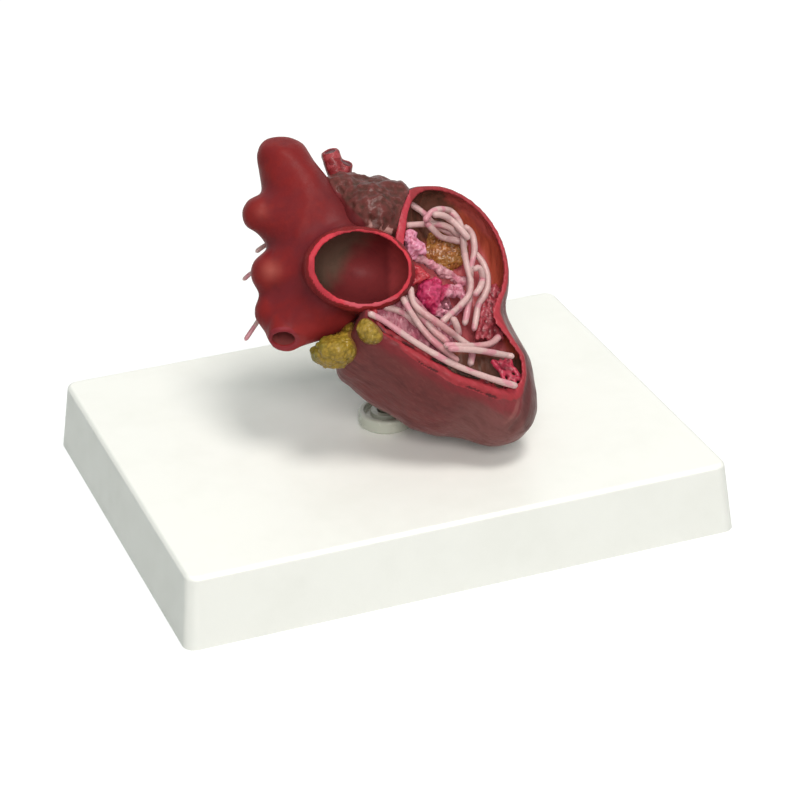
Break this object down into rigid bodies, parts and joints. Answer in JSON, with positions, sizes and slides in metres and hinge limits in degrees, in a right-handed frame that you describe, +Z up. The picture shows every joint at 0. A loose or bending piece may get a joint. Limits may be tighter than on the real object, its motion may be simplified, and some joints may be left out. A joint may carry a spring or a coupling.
{
  "type": "dog heart model",
  "caption": "Life-size teaching model of a dog's heart with threadlike worms, opened by windows in its right side, leaning on a pin that turns in a hollow moulded base.",
  "frame": {"origin": "middle of the base's foot, straight under the pin", "axes": "+X along the base's long side, +Y away from the side that the heart shows its windows to, +Z up"},
  "size_m": [0.165, 0.127, 0.1033],
  "materials": {
    "base_plastic": "satin white, faintly mottled",
    "cup_plastic": "translucent milky grey",
    "zinc_steel": "zinc plated",
    "dark_steel": "dark, satin",
    "sleeve_plastic": "plain",
    "ventricle_paint": "hand-painted resin, satin gloss",
    "atrium_paint": "hand-painted resin, satin gloss",
    "auricle_paint": "hand-painted resin, mottled",
    "arch_paint": "hand-painted resin",
    "back_paint": "hand-painted resin",
    "artery_paint": "hand-painted resin",
    "fat_paint": "yellow paint, mottled",
    "amber_paint": "amber glaze",
    "magenta_paint": "glossy magenta paint",
    "band_paint": "pale pink paint",
    "knot_paint": "pink paint",
    "strut_paint": "red paint",
    "leaflet_paint": "pale pink paint",
    "net_paint": "dark red paint",
    "worm_paint": "off-white, glossy"
  },
  "bodies": {
    "base": {"base_shell": "base_plastic", "stand_cup": "cup_plastic", "cup_washer": "zinc_steel", "cup_screw": "zinc_steel"},
    "pin": {"stand_pin": "dark_steel"},
    "heart": {"pin_sleeve": "sleeve_plastic", "ventricle_casting": "ventricle_paint", "atrium_casting": "atrium_paint", "auricle_casting": "auricle_paint", "aortic_arch": "arch_paint", "left_atrium_casting": "back_paint", "pulmonary_artery": "artery_paint", "fat_pad_large": "fat_paint", "fat_pad_small": "fat_paint", "amber_lining": "amber_paint", "papillary_muscle": "magenta_paint", "moderator_band": "band_paint", "valve_knot": "knot_paint", "septal_strut": "strut_paint", "valve_leaflet": "leaflet_paint", "muscle_net_side": "net_paint", "muscle_net_apex": "net_paint", "worm_01": "worm_paint", "worm_02": "worm_paint", "worm_03": "worm_paint", "worm_04": "worm_paint", "worm_05": "worm_paint", "worm_06": "worm_paint", "worm_07": "worm_paint", "worm_08": "worm_paint", "worm_09": "worm_paint", "worm_10": "worm_paint", "worm_11": "worm_paint", "worm_12": "worm_paint", "worm_13": "worm_paint", "worm_14": "worm_paint", "worm_15": "worm_paint", "worm_16": "worm_paint", "stray_worm_1": "worm_paint", "stray_worm_2": "worm_paint", "stray_worm_3": "worm_paint"}
  },
  "joints": [
    {"name": "swivel", "type": "hinge", "parent": "base", "child": "pin", "pos_m": [0, 0, 0.02], "axis": [0, 0, 1], "continuous": true},
    {"name": "lift_off", "type": "slide", "parent": "pin", "child": "heart", "axis": [0, 0, 1], "range_m": [0, 0.03]}
  ]
}
